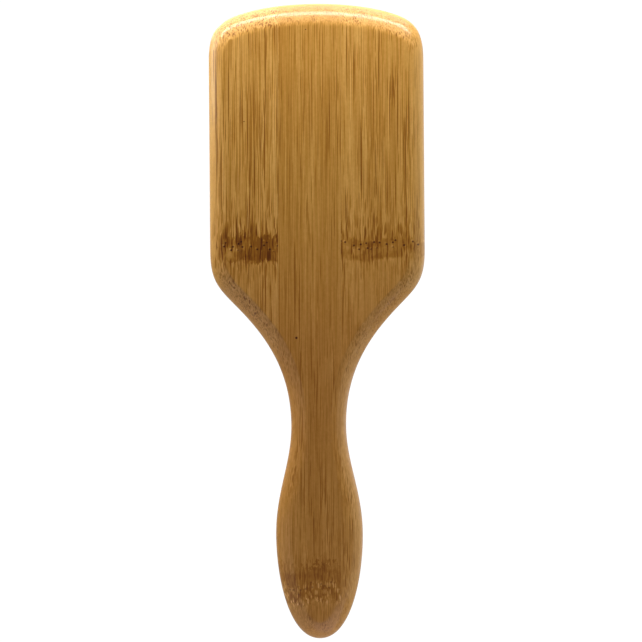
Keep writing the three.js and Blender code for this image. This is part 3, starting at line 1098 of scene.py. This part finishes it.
# Each light: its place, what it points at, its size, its power in watts and its colour.
LIGHTS = {
    "key": ((0, -0.0775, 0.379), (0, -0.0075, 0.205), (0.46, 0.03), 1.28, (1, 1, 1)),
    "overhead": ((0, 0.02, 0.42), (0, 0, 0.209), (0.4, 0.10), 0.34, (0.75, 1, 1.8)),
    "crown_back": ((0, 0.16, 0.36), (0, 0, 0.209), (0.4, 0.2), 0.35, (1, 1, 1)),
    "foot": ((0.08, -0.15, -0.24), (0, 0, -0.03), (0.45, 0.30), 0.34, (1, 1, 1.45)),
    "foot_left": ((-0.30, -0.12, -0.16), (0, 0, -0.02), (0.45, 0.40), 0.32, (1, 1, 1)),
    "rim_left": ((-0.33, 0.03, 0.33), (-0.04, 0, 0.18), (0.25, 0.30), 1.12, (0.92, 1, 1.05)),
    "rim_right": ((0.40, 0.0, 0.10), (0.03, 0, 0.08), (0.40, 0.60), 0.84, (0.9, 1, 0.82)),
    "backdrop": ((0, 0.40, 0.15), (0, 0, 0.10), (1.6, 1.4), 2.4, (1, 1, 1)),
    "rear_key": ((-0.5, 0.9, 0.8), (0, 0, 0.1), (0.6, 0.6), 4.5, (1, 1, 1)),
    "rear_fill": ((0.9, 0.8, 0.1), (0, 0, 0.1), (0.6, 0.8), 1.6, (1, 1, 1)),
}


def area_light(name, place, target, size, power, colour):
    """A rectangular light that the camera doesn't see."""
    light = bpy.data.lights.new(name, "AREA")
    light.shape = "RECTANGLE"
    light.size, light.size_y = size
    light.energy = power
    light.color = colour
    obj = bpy.data.objects.new(name, light)
    obj.location = place
    obj.rotation_euler = (Vector(target) - Vector(place)).to_track_quat("-Z", "Y").to_euler()
    obj.visible_camera = False
    bpy.context.scene.collection.objects.link(obj)


def make_world():
    """White behind the brush for the camera, and a dimmer even light on it."""
    world = bpy.data.worlds.new("studio")
    bpy.context.scene.world = world
    world.use_nodes = True
    tree = world.node_tree
    tree.nodes.clear()
    light, white = tree.nodes.new("ShaderNodeBackground"), tree.nodes.new("ShaderNodeBackground")
    for shader, strength in ((light, WORLD_STRENGTH), (white, BACKGROUND_STRENGTH)):
        shader.inputs["Color"].default_value = (1, 1, 1, 1)
        shader.inputs["Strength"].default_value = strength
    seen = tree.nodes.new("ShaderNodeLightPath")
    mix, output = tree.nodes.new("ShaderNodeMixShader"), tree.nodes.new("ShaderNodeOutputWorld")
    tree.links.new(seen.outputs["Is Camera Ray"], mix.inputs[0])
    tree.links.new(light.outputs[0], mix.inputs[1])
    tree.links.new(white.outputs[0], mix.inputs[2])
    tree.links.new(mix.outputs[0], output.inputs["Surface"])


def make_floor():
    """A white disc well below the brush, which glows for the camera."""
    vertices = [(0, 0, FLOOR_HEIGHT)]
    for n in range(FLOOR_SIDES):
        angle = 2 * math.pi * n / FLOOR_SIDES
        vertices.append((FLOOR_RADIUS * math.cos(angle), FLOOR_RADIUS * math.sin(angle), FLOOR_HEIGHT))
    faces = [(0, n + 1, (n + 1) % FLOOR_SIDES + 1) for n in range(FLOOR_SIDES)]
    floor = mesh_object("floor", vertices, faces)
    s = Shader("floor_paint")
    place = s.node("ShaderNodeTexCoord").outputs["Object"]
    tone = s.drift(place, (0.4, 0.4, 0.4), 0.88, 0.92, 1.0)
    seen = s.node("ShaderNodeLightPath").outputs["Is Camera Ray"]
    floor.data.materials.append(
        s.surface(
            Base_Color=s.point(tone, tone, tone),
            Roughness=0.8,
            Emission_Color=(1, 1, 1, 1),
            Emission_Strength=s.times(seen, FLOOR_GLOW),
        )
    )


def make_camera():
    """A camera straight in front of the brush's back, rolled slightly as in the photograph."""
    camera = bpy.data.cameras.new("camera")
    camera.lens = CAMERA_LENS
    camera.sensor_width = CAMERA_SENSOR
    camera.clip_start, camera.clip_end = 0.01, 50
    obj = bpy.data.objects.new("camera", camera)
    level = Matrix.Rotation(math.pi / 2, 4, "X") @ Matrix.Rotation(CAMERA_ROLL, 4, "Z")
    obj.matrix_world = Matrix.Translation(VIEW_MIDDLE - Vector((0, CAMERA_DISTANCE, 0))) @ level
    bpy.context.scene.collection.objects.link(obj)
    bpy.context.scene.camera = obj


make_world()
make_floor()
make_camera()
for name, (place, target, size, power, colour) in LIGHTS.items():
    area_light(name, place, target, size, power, colour)

scene = bpy.context.scene
scene.view_settings.view_transform = "Standard"
scene.view_settings.look = "None"
scene.view_settings.exposure = 0
scene.view_settings.gamma = 1
